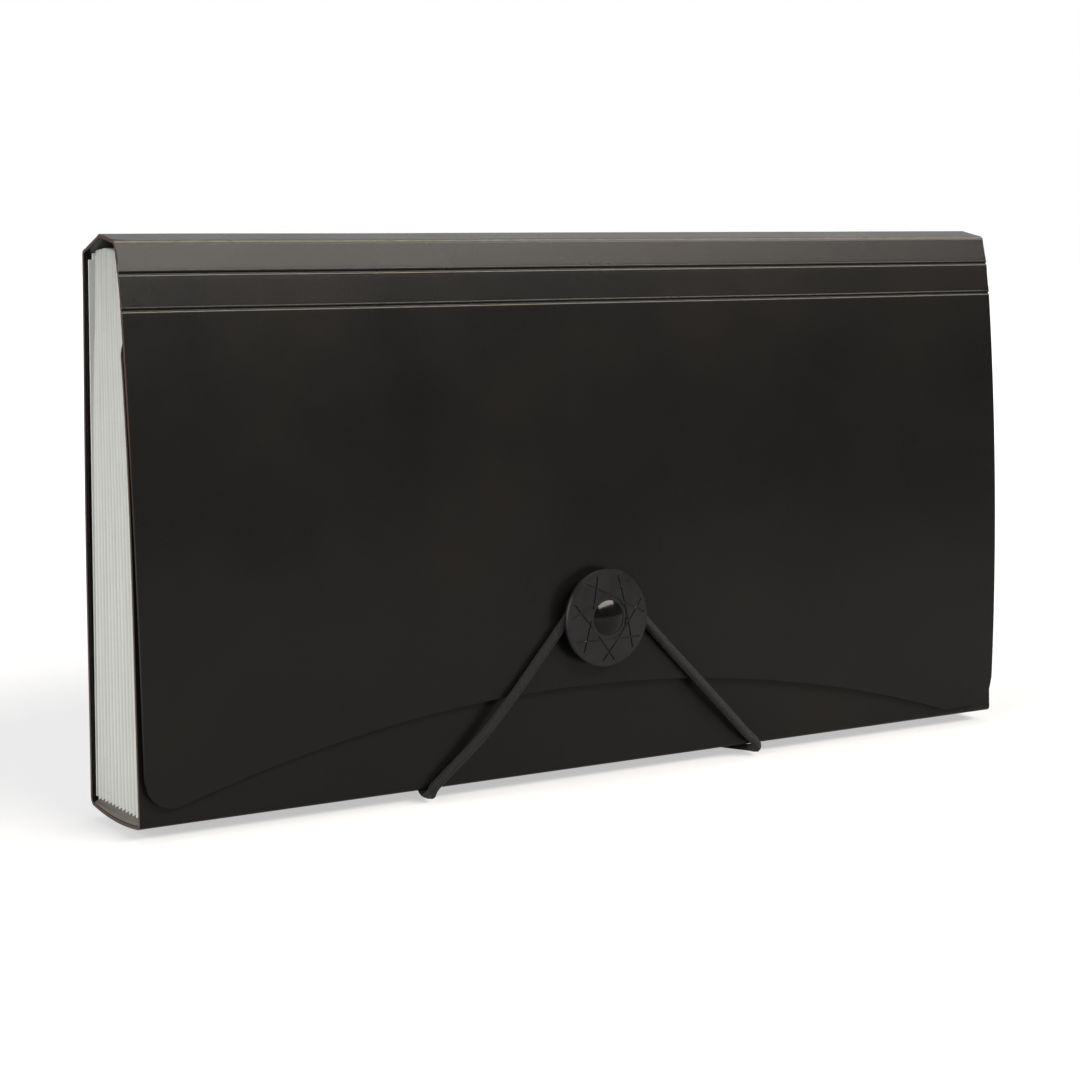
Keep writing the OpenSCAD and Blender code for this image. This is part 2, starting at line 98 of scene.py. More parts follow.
class Nodes:
    """A thin hand on a node tree."""

    def __init__(self, tree: Tree) -> None:
        """Keeps the tree."""
        self.tree = tree

    def add(self, kind: str, inputs: Optional[dict] = None, **settings) -> bpy.types.Node:
        """Adds a node.

        Args:
            kind: The node's type name.
            inputs: Values or sockets, by input name or number.
            **settings: Attributes of the node.

        Returns:
            The new node.
        """
        node = self.tree.nodes.new(kind)
        for name, value in settings.items():
            setattr(node, name, value)
        for name, value in (inputs or {}).items():
            self.feed(node.inputs[name], value)
        return node

    def feed(self, socket: Socket, value: Feed) -> None:
        """Links a socket into another, or sets its value.

        Args:
            socket: The socket that is fed.
            value: Another socket, a number, or a colour.
        """
        if isinstance(value, Socket):
            self.tree.links.new(value, socket)
            return
        if socket.type == "RGBA" and len(value) == 3:
            value = (*value, 1.0)
        socket.default_value = value

    def math(self, operation: str, a: Feed, b: Feed = 0.0, c: Feed = 0.0,
             clamp: bool = False) -> Socket:
        """Adds a Math node and returns its value."""
        values = {0: a, 1: b, 2: c}
        return self.add("ShaderNodeMath", values, operation=operation, use_clamp=clamp).outputs[0]

    def noise(self, where: Socket, scale: Feed, detail: float, rough: float = 0.5) -> Socket:
        """Adds a Noise texture and returns its factor."""
        values = {"Vector": where, "Scale": scale, "Detail": detail, "Roughness": rough}
        return self.add("ShaderNodeTexNoise", values).outputs["Fac"]

    def mix(self, factor: Feed, a: Feed, b: Feed) -> Socket:
        """Mixes two colours."""
        values = {"Factor": factor, 6: a, 7: b}
        return self.add("ShaderNodeMix", values, data_type="RGBA").outputs[2]

    def span(self, value: Socket, low: float, high: float, to_low: float, to_high: float) -> Socket:
        """Maps a value from one range to another, with the ends held."""
        values = {"Value": value, 1: low, 2: high, 3: to_low, 4: to_high}
        return self.add("ShaderNodeMapRange", values).outputs[0]

    def axis(self, where: Socket, name: str) -> Socket:
        """Takes one coordinate of a place."""
        return self.add("ShaderNodeSeparateXYZ", {0: where}).outputs[name]

    def group(self, tree: Tree, inputs: dict[str, Feed]) -> bpy.types.Node:
        """Places a shared group with its own values."""
        return self.add("ShaderNodeGroup", inputs, node_tree=tree)


class Paint(Nodes):
    """The nodes of one material, with its Principled shader at hand."""

    def __init__(self, name: str) -> None:
        """Starts the material.

        Args:
            name: The material's name.
        """
        self.material = bpy.data.materials.new(name)
        self.material.use_nodes = True
        super().__init__(self.material.node_tree)
        self.shader = self.tree.nodes["Principled BSDF"]

    def coords(self) -> Socket:
        """Adds the Object coordinates."""
        return self.add("ShaderNodeTexCoord").outputs["Object"]

    def uv(self) -> Socket:
        """Adds the piece's own map."""
        return self.add("ShaderNodeUVMap", uv_map="UVMap").outputs["UV"]

    def give(self, inputs: dict[str, Feed]) -> None:
        """Feeds the shader's inputs by name."""
        for name, value in inputs.items():
            self.feed(self.shader.inputs[name], value)

    def bump(self, height: Socket, distance: float) -> None:
        """Feeds a height through a Bump node into the shader."""
        values = {"Height": height, "Distance": distance, "Strength": 1.0}
        self.give({"Normal": self.add("ShaderNodeBump", values).outputs["Normal"]})


FLOAT, VECTOR = "NodeSocketFloat", "NodeSocketVector"


def new_group(name: str, takes: dict[str, str], gives: dict[str, str]) -> tuple:
    """Starts a shader node group.

    Args:
        name: The group's name.
        takes: Socket types by input name.
        gives: Socket types by output name.

    Returns:
        A hand on the group's tree, what it takes and what it gives.
    """
    tree = bpy.data.node_groups.new(name, "ShaderNodeTree")
    for way, sockets in (("INPUT", takes), ("OUTPUT", gives)):
        for label, kind in sockets.items():
            tree.interface.new_socket(label, in_out=way, socket_type=kind)
    hand = Nodes(tree)
    return hand, hand.add("NodeGroupInput").outputs, hand.add("NodeGroupOutput").inputs


def grain_group() -> Tree:
    """Makes the fine grain of rolled sheet, with a mottle under it.

    Returns:
        A group that gives a height and a mottle.
    """
    n, take, give = new_group(
        "sheet_grain",
        {"Vector": VECTOR, "Scale": FLOAT, "Mottle Scale": FLOAT},
        {"Height": FLOAT, "Mottle": FLOAT},
    )
    where = {"Vector": take["Vector"], "Scale": take["Scale"]}
    fine = n.noise(take["Vector"], take["Scale"], 2.0, 0.6)
    cells = n.add("ShaderNodeTexVoronoi", where, feature="SMOOTH_F1").outputs["Distance"]
    n.feed(give["Height"], n.math("MULTIPLY_ADD", cells, 0.6, fine))
    n.feed(give["Mottle"], n.noise(take["Vector"], take["Mottle Scale"], 4.0, 0.55))
    return n.tree


def cut_edge_group() -> Tree:
    """Finds the sawn ends of the sheet, where its colour is raw.

    Returns:
        A group that gives 1 on faces past a distance from the middle.
    """
    n, take, give = new_group("cut_edge", {"Vector": VECTOR, "Reach": FLOAT}, {"Mask": FLOAT})
    past = n.math("SUBTRACT", n.math("ABSOLUTE", n.axis(take["Vector"], "X")), take["Reach"])
    n.feed(give["Mask"], n.span(past, 0.0, 0.12 * MM, 0.0, 1.0))
    return n.tree


def braid_group() -> Tree:
    """Crosses yarns in a round braid, read from the cord's own map.

    Returns:
        A group that gives a height and a shade.
    """
    n, take, give = new_group(
        "braid", {"Vector": VECTOR, "Plaits": FLOAT}, {"Height": FLOAT, "Shade": FLOAT}
    )
    round_it = n.math("MULTIPLY", n.axis(take["Vector"], "X"), take["Plaits"])
    along = n.axis(take["Vector"], "Y")
    yarns, cells = [], []
    for turn in ("ADD", "SUBTRACT"):
        wound = n.math(turn, round_it, along)
        phase = n.math("FRACT", wound)
        ridge = n.math("SINE", n.math("MULTIPLY", phase, math.pi))
        fibre = n.math("SINE", n.math("MULTIPLY", phase, 5 * math.pi))
        yarns.append(n.math("MULTIPLY_ADD", fibre, 0.12, ridge))
        cells.append(n.math("FLOOR", n.math("MULTIPLY", wound, 0.5)))
    swap = n.math("FLOORED_MODULO", n.math("ADD", *cells), 2.0)
    other = n.math("SUBTRACT", 1.0, swap)
    height = n.math("MULTIPLY_ADD", yarns[0], swap, n.math("MULTIPLY", yarns[1], other))
    n.feed(give["Height"], height)
    n.feed(give["Shade"], n.span(height, 0.0, 0.7, 0.0, 1.0))
    return n.tree


# ---- finishes


@dataclass(frozen=True)
class Finish:
    """A Principled shader whose colour, roughness and bump follow the shared grain."""

    name: str
    colour: str = "0f0f0e"
    other: str = "151311"
    rough: Point = (0.25, 0.31)
    grain: float = 4200.0
    mottle: float = 22.0
    relief: float = 0.02 * MM
    tones: Point = (0.35, 0.7)
    specular: float = 0.5
    alpha: float = 1.0

    def base(self, p: Paint, where: Socket, mottle: Socket) -> Socket:
        """Mixes the two colours as the mottle rises."""
        return p.mix(p.span(mottle, *self.tones, 0.0, 1.0), srgb(self.colour), srgb(self.other))

    def build(self, grain: Tree) -> Material:
        """Makes the material.

        Args:
            grain: The shared grain group.

        Returns:
            The finished material.
        """
        p = Paint(self.name)
        where = p.coords()
        scales = {"Vector": where, "Scale": self.grain, "Mottle Scale": self.mottle}
        g = p.group(grain, scales).outputs
        p.give({
            "Base Color": self.base(p, where, g["Mottle"]),
            "Roughness": p.span(g["Mottle"], 0.3, 0.7, *self.rough),
            "Specular IOR Level": self.specular,
            "Alpha": self.alpha,
        })
        p.bump(g["Height"], self.relief)
        return p.material


@dataclass(frozen=True)
class SheetFinish(Finish):
    """Grained polypropylene sheet, with raw cut ends and a painted highlight along its folds,
    partly the bent sheet's whitening.
    """

    specular: float = 0.22
    cut: str = "54403a"
    # pale: colour of the painted highlight along the folds, partly the bent sheet's whitening.
    pale: str = "a39c90"
    reach: float = 126.9 * MM
    cut_edge: Optional[Tree] = None

    def base(self, p: Paint, where: Socket, mottle: Socket) -> Socket:
        """Lays the raw ends and the painted fold highlights over the sheet's two colours.

        Args:
            p: The material's nodes.
            where: The Object coordinates.
            mottle: The grain's mottle.

        Returns:
            The base colour.
        """
        uv = p.uv()
        edge = p.group(self.cut_edge, {"Vector": where, "Reach": self.reach}).outputs["Mask"]
        raw = p.mix(edge, super().base(p, where, mottle), srgb(self.cut))
        # The UV's second value holds the painted highlight along the folds, broken into patches.
        patches = p.span(p.noise(uv, 30.0, 3.0), 0.3, 0.6, 0.45, 1.0)
        return p.mix(p.math("MULTIPLY", p.axis(uv, "Y"), patches), raw, srgb(self.pale))


@dataclass(frozen=True)
class FilmFinish(Finish):
    """Milky translucent film, painted lighter on the pleats' tips and darker into their valleys as
    painted light and shade.
    """

    # colour is the painted shade in the pleats' valleys, other the painted light on their tips.
    colour: str = "c6c8c3"
    other: str = "f1f2ee"
    rough: Point = (0.35, 0.48)
    grain: float = 1500.0
    mottle: float = 60.0
    tip: float = 125.7 * MM
    valley: float = 124.3 * MM
    streaks: Place = (900.0, 1700.0, 12.0)
    milk: float = 0.25
    milk_depth: float = 2 * MM

    def base(self, p: Paint, where: Socket, mottle: Socket) -> Socket:
        """Makes the film milky, and streaks it from the painted shade of its valleys to the painted
        light of its tips.

        Args:
            p: The material's nodes.
            where: The Object coordinates.
            mottle: The grain's mottle, which the film's colour doesn't follow.

        Returns:
            The base colour.
        """
        p.give({"Subsurface Weight": self.milk, "Subsurface Radius": (self.milk_depth,) * 3})
        # Painted shade in the valleys, rising to painted light on the tips.
        away = p.math("ABSOLUTE", p.axis(where, "X"))
        depth = p.span(away, self.valley, self.tip, 0.0, 1.0)
        drawn = p.add("ShaderNodeMapping", {"Vector": where, "Scale": self.streaks}).outputs[0]
        streak = p.math("SUBTRACT", p.noise(drawn, 1.0, 2.0), 0.5)
        share = p.math("MULTIPLY_ADD", streak, 0.5, depth, clamp=True)
        return p.mix(share, srgb(self.colour), srgb(self.other))


@dataclass(frozen=True)
class MouldedFinish(Finish):
    """Moulded plastic, from satin to polished."""

    grain: float = 3200.0
    mottle: float = 180.0
    relief: float = 0.01 * MM
    specular: float = 0.4


@dataclass(frozen=True)
class PaperFinish(Finish):
    """Uncoated paper with its fibres."""

    colour: str = "f1efe8"
    other: str = "e9e6dd"
    rough: Point = (0.8, 0.95)
    mottle: float = 900.0
    tones: Point = (0.4, 0.75)


@dataclass(frozen=True)
class BraidFinish:
    """Black yarn braided over rubber."""

    name: str
    colour: str = "121213"
    # gap is the colour the braid darkens to where it is low: painted shade in the hollows between
    # yarns.
    gap: str = "050505"
    plaits: float = 8.0
    relief: float = 0.12 * MM
    sheen: float = 0.08
    specular: float = 0.3

    def build(self, braid: Tree) -> Material:
        """Makes the material.

        Args:
            braid: The shared braid group.

        Returns:
            The finished material.
        """
        p = Paint(self.name)
        b = p.group(braid, {"Vector": p.uv(), "Plaits": self.plaits}).outputs
        p.give({
            # Darker where the braid is low: painted shade between the yarns.
            "Base Color": p.mix(b["Shade"], srgb(self.gap), srgb(self.colour)),
            "Roughness": p.span(b["Shade"], 0.0, 1.0, 0.85, 0.55),
            "Sheen Weight": self.sheen,
            "Specular IOR Level": self.specular,
        })
        p.bump(b["Height"], self.relief)
        return p.material


@dataclass(frozen=True)
class SteelFinish:
    """Plated steel, brushed along its length."""

    name: str
    colour: str = "8d9092"
    bright: str = "a9acae"
    brush: Place = (300.0, 6000.0, 6000.0)
    relief: float = 0.01 * MM

    def build(self) -> Material:
        """Makes the material.

        Returns:
            The finished material.
        """
        p = Paint(self.name)
        drawn = p.add("ShaderNodeMapping", {"Vector": p.coords(), "Scale": self.brush}).outputs[0]
        lines = p.noise(drawn, 1.0, 3.0)
        p.give({
            "Base Color": p.mix(lines, srgb(self.colour), srgb(self.bright)),
            "Roughness": p.span(lines, 0.3, 0.7, 0.28, 0.45),
            "Metallic": 1.0,
        })
        p.bump(lines, self.relief)
        return p.material


# ---- mesh helpers


def as_object(name: str, bm: Shape, material: Material, smooth: float = 40.0) -> bpy.types.Object:
    """Turns a bmesh into a finished object at the origin.

    Args:
        name: The piece's name.
        bm: The shape, which is freed.
        material: What the piece is made of.
        smooth: Edges under this angle, in degrees, are shaded smooth.

    Returns:
        The new object.
    """
    bmesh.ops.recalc_face_normals(bm, faces=bm.faces)
    for edge in bm.edges:
        edge.smooth = edge.is_manifold and edge.calc_face_angle(0.0) < math.radians(smooth)
    for face in bm.faces:
        face.smooth = True
    mesh = bpy.data.meshes.new(name)
    bm.to_mesh(mesh)
    bm.free()
    mesh.materials.append(material)
    piece = bpy.data.objects.new(name, mesh)
    bpy.context.scene.collection.objects.link(piece)
    return piece


def prism(profile: Iterable[Place], step: Place, cuts: int) -> Shape:
    """Extrudes a closed outline and cuts it into slices.

    Args:
        profile: Corners of the outline, in order.
        step: The whole way that it is extruded.
        cuts: Number of slices.

    Returns:
        A closed solid.
    """
    bm = bmesh.new()
    face = bm.faces.new([bm.verts.new(p) for p in profile])
    out = bmesh.ops.extrude_face_region(bm, geom=[face])["geom"]
    moved = [g for g in out if isinstance(g, bmesh.types.BMVert)]
    bmesh.ops.translate(bm, verts=moved, vec=step)
    if cuts > 1:
        way = Vector(step).normalized()
        runs = [(e, (e.verts[1].co - e.verts[0].co).normalized().dot(way)) for e in bm.edges]
        long_edges = [edge for edge, share in runs if abs(share) > 0.999]
        bmesh.ops.subdivide_edges(bm, edges=long_edges, cuts=cuts - 1, use_grid_fill=False)
    return bm


def soften_ends(bm: Shape, reach: float, width: float, skip: Callable[[Vector], bool]) -> None:
    """Rounds the edges that lie on the two cut ends.

    Args:
        bm: The shape.
        reach: How far from the middle the ends lie.
        width: Width of the round.
        skip: Says which places are left sharp.
    """
    ends = [
        e for e in bm.edges
        if all(abs(abs(v.co.x) - reach) < NEAR for v in e.verts)
        and not any(skip(v.co) for v in e.verts)
        and e.is_manifold and e.calc_face_angle(0.0) > 0.8
    ]
    if ends:
        bmesh.ops.bevel(
            bm, geom=ends, offset=width, segments=2, profile=0.5, affect="EDGES",
            clamp_overlap=True, material=-1,
        )


# ---- the folded cover


FOLD_JOINTS = ("roof_lift", "ridge_fold", "front_fold", "crease_1_fold", "crease_2_fold",
               "front_cover_hinge")


@dataclass
class Folds:
    """Places of the folds' middle lines in the wallet's cross-section, in metres."""

    back: Vector
    ridge: Vector
    front: Vector
    crease_1: Vector
    crease_2: Vector
    foot: Vector


def fold_at(joint: str) -> Vector:
    """Reads a joint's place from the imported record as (depth, height)."""
    return next(Vector(j["pos_m"][1:]) for j in frame["joints"] if j["name"] == joint)


@dataclass
class CoverSheet:
    """The one sheet of the cover: flat panels, pressed creases and round bends."""

    half_w: float = 127 * MM
    thick: float = 0.8 * MM
    slices: int = 72
    panel_steps: int = 6
    bend_steps: int = 44
    back_steps: int = 40
    corner_steps: int = 8
    bow_steps: int = 24
    front_steps: int = 110
    flap_steps: int = 400
    flap_grid: tuple[int, int] = (150, 60)
    flap_crowd: float = 0.65
    flap_lead: int = 5
    crease_half: float = 1.5 * MM
    bend_half: float = 0.6 * MM
    foot_half: float = 0.9 * MM
    groove_depth: float = 0.3 * MM
    groove_w: float = 0.27 * MM
    lip: float = 0.07 * MM
    lip_at: float = 1.7
    lip_sharp: float = 4.0
    through: float = 0.3
    edge: float = 0.13 * MM
    wave: float = 0.208 * MM
    wave_rate: Point = (14.0, 18.0)
    wave_seed: float = 0.37
    wave_from: float = 100 * MM
    wave_fade: float = 18 * MM
    bow_low: float = 2.2 * MM
    spine_bow: float = 1 * MM
    foot_out: float = 27.6 * MM
    corner_r: float = 2 * MM
    back_y: float = 16.8732 * MM
    back_bulge: float = 0.75 * MM
    flap_bulge: float = 1.9 * MM
    flap_foot: Point = (-11.6268 * MM, 3.6 * MM)
    arc_r: float = 361 * MM
    arc_x: float = -10 * MM
    arc_top: float = 24.2 * MM
    corner: float = 7 * MM
    taper: float = 0.85 * MM
    skew: Point = (0.1 * MM, 2.2 * MM)
    swell: float = 1.5 * MM
    front_top: float = 114.8 * MM
    front_in: float = 1.3 * MM
    front_corner: float = 7 * MM
    hole_x: Point = (-45 * MM, 35 * MM)
    hole_y: float = 10.8732 * MM
    hole_d: float = 3 * MM
    hole_up: float = 1.2 * MM
    hole_deep: float = 4 * MM

    def strip(self, line: list[Point], crease: bool = False, top_free: bool = False,
              pale: tuple = ()) -> Shape:
        """Makes a strip of sheet along a line of the cross-section.

        Args:
            line: Points of the sheet's middle line, as (depth, height), outside on the left.
            crease: Whether a groove is pressed along its middle.
            top_free: Whether the first end is a free edge.
            pale: A painted highlight along the bend, partly the sheet's whitening, as (distance
                past the middle, half width, strength).

        Returns:
            The closed strip.
        """
        points = [Vector(p) for p in line]
        far = [0.0]
        for a, b in zip(points, points[1:]):
            far.append(far[-1] + (b - a).length)
        outer, inner = [], []
        for i, p in enumerate(points):
            ahead = (points[min(i + 1, len(points) - 1)] - points[max(i - 1, 0)]).normalized()
            side = Vector((-ahead.y, ahead.x))
            press = 0.0
            if crease:
                u = (far[i] - far[-1] / 2) / self.groove_w
                raised = self.lip * math.exp(-((abs(u) - self.lip_at) ** 2) * self.lip_sharp)
                press = self.groove_depth * math.exp(-(u ** 4)) - raised
            outer.append(p + side * (self.thick / 2 - press))
            inner.append(p - side * (self.thick / 2 - self.through * max(press, 0.0)))
        profile = [(-self.half_w, p.x, p.y) for p in outer + inner[::-1]]
        bm = prism(profile, (2 * self.half_w, 0, 0), self.slices)
        # Writes the painted highlight along the bend into the UV.
        if pale:
            self.paint_highlight_line(bm, outer, far, pale)
        joints = [points[-1]] if top_free else [points[0], points[-1]]

        def joined(co: Vector) -> bool:
            """Says whether a place lies on an end that runs on into the next piece."""
            return any((co.yz - end).length < self.thick * 0.6 for end in joints)

        soften_ends(bm, self.half_w, self.edge, joined)
        return bm

    @staticmethod
    def paint_highlight_line(bm: Shape, outer: list[Vector], far: list[float], pale: tuple) -> None:
        """Writes the strength of a painted highlight along a bend into the strip's own UV.

        Args:
            bm: The strip.
            outer: Points of its outer face.
            far: Distance of each along the line.
            pale: The painted highlight line, as (distance past the middle, half width, strength).
        """
        past, half, strength = pale
        place = far[-1] / 2 - past
        layer = bm.loops.layers.uv.new("UVMap")
        for vert in bm.verts:
            gap, i = min(((vert.co.yz - p).length, i) for i, p in enumerate(outer))
            share = strength * math.exp(-(((far[i] - place) / half) ** 2)) if gap < NEAR else 0.0
            for loop in vert.link_loops:
                loop[layer].uv = (vert.co.x * 10, share)

    def wave_at(self, x: float, z: float) -> float:
        """Lift of a slow wave in the soft sheet, which fades out below the roof.

        Args:
            x: Place across the width.
            z: Height.

        Returns:
            The lift.
        """
        fade = min(max((z - self.wave_from) / self.wave_fade, 0.0), 1.0)
        place = Vector((x * self.wave_rate[0], z * self.wave_rate[1], self.wave_seed))
        return self.wave * fade * noise.noise(place)

    def swell_at(self, z: float) -> float:
        """How far the filled insert swells the front cover at a height."""
        t = min(max((z - self.flap_foot[1]) / (self.front_top - self.flap_foot[1]), 0.0), 1.0)
        return self.swell * math.sin(math.pi * t ** 1.5)

    def shape_front(self, bm: Shape) -> None:
        """Swells the front cover and draws its two top corners in, under the flap.

        Args:
            bm: The front cover's strip.
        """
        for v in bm.verts:
            over = max(v.co.z - (self.front_top - self.front_corner), 0.0)
            drawn = self.front_corner - math.sqrt(max(self.front_corner ** 2 - over * over, 0.0))
            v.co += Vector((-v.co.x / self.half_w * drawn, -self.swell_at(v.co.z), 0))

    @staticmethod
    def between(a: Vector, b: Vector, from_a: float, from_b: float, steps: int) -> list[Point]:
        """Points of a straight stretch that starts and stops short of two folds.

        Args:
            a: The first fold.
            b: The second fold.
            from_a: Where it starts, counted from the first.
            from_b: Where it stops, counted from the second.
            steps: Number of steps.

        Returns:
            The points, as (depth, height).
        """
        way = (b - a).normalized()
        first, last = a + way * from_a, b - way * from_b
        return [tuple(first.lerp(last, i / steps)) for i in range(steps + 1)]

    def bend(self, before: Vector, fold: Vector, after: Vector, half: float) -> list[Point]:
        """Points of the round bend at a fold, between two straight stretches.

        Args:
            before: A place on the stretch before the fold.
            fold: The fold.
            after: A place on the stretch after it.
            half: How far the bend reaches to each side.

        Returns:
            The points, as (depth, height).
        """
        a = fold + (before - fold).normalized() * half
        b = fold + (after - fold).normalized() * half
        shares = [i / self.bend_steps for i in range(self.bend_steps + 1)]
        return [tuple(a * (1 - t) ** 2 + fold * 2 * t * (1 - t) + b * t * t) for t in shares]

    def bow(self) -> tuple[Vector, float]:
        """Works out the spine's bow.

        Returns:
            Its centre, as (depth, height), and its outer radius.
        """
        half = self.foot_out / 2 - self.thick
        radius = (half ** 2 + self.spine_bow ** 2) / (2 * self.spine_bow)
        return Vector((self.back_y - self.foot_out + half, self.bow_low + radius)), radius

    def flap_line(self, top: Vector) -> list[Vector]:
        """Points of the flap's bulged middle line.

        Args:
            top: Where the line starts, at the flap's crease.

        Returns:
            The points, down to the flap's foot.
        """
        foot = Vector(self.flap_foot)
        chord = foot - top
        half = chord.length / 2
        radius = (half * half + self.flap_bulge ** 2) / (2 * self.flap_bulge)
        inward = Vector((-chord.y, chord.x)).normalized()
        centre = (foot + top) / 2 + inward * (radius - self.flap_bulge)
        a0, a1 = (math.atan2(*(p - centre).yx) % (2 * math.pi) for p in (top, foot))
        angles = [a0 + (a1 - a0) * i / self.flap_steps for i in range(self.flap_steps + 1)]
        return [centre + radius * Vector((math.cos(a), math.sin(a))) for a in angles]

    def lower_edge(self, x: float) -> float:
        """Height of the flap's lower edge: a hollow arc between two round corners.

        Args:
            x: Place across the width.

        Returns:
            The height, with the edge's skew.
        """
        foot = self.flap_foot[1]
        side = 1 if x > 0 else -1
        skew = self.skew[side > 0] * (x / self.half_w) ** 2
        centre_z = self.arc_top - self.arc_r
        mid_x = touch = side * (self.half_w - self.corner)
        dx = mid_x - self.arc_x
        mid_z = foot + self.corner
        rise = centre_z + math.sqrt((self.arc_r + self.corner) ** 2 - dx * dx)
        if rise >= mid_z:
            mid_z = rise
            touch = self.arc_x + dx * self.arc_r / (self.arc_r + self.corner)
        if side * (x - touch) <= 0:
            arc = centre_z + math.sqrt(self.arc_r ** 2 - (x - self.arc_x) ** 2)
            return max(arc, foot) + skew
        off = min(abs(x - mid_x), self.corner)
        return mid_z - math.sqrt(self.corner ** 2 - off * off) + skew

    def flap(self, top: Vector) -> Shape:
        """Makes the flap: a bulged sheet with a hollow lower edge and round corners.

        Args:
            top: Where the flap starts, just under its crease.

        Returns:
            The closed sheet.
        """
        columns, rows = self.flap_grid
        bm = bmesh.new()
        bmesh.ops.create_grid(bm, x_segments=columns, y_segments=rows, size=1.0)
        line = self.flap_line(top)
        heights = [p.y for p in line]
        for v in bm.verts:
            ease = math.sin(v.co.x * math.pi / 2) - v.co.x
            x = self.half_w * (v.co.x + self.flap_crowd * ease)
            down = (1 - v.co.y) / 2
            z = top.y + (self.lower_edge(x) - top.y) * down
            i = min(max(sum(height > z for height in heights) - 1, 0), len(line) - 2)
            share = (heights[i] - z) / (heights[i] - heights[i + 1])
            drawn = 1 - self.taper / self.half_w * down * down
            v.co = Vector((x * drawn, line[i].lerp(line[i + 1], share).x, z))
        bm.normal_update()
        for v in bm.verts:
            v.co += v.normal * (self.thick / 2)
        bmesh.ops.solidify(bm, geom=bm.faces[:], thickness=self.thick)
        return bm


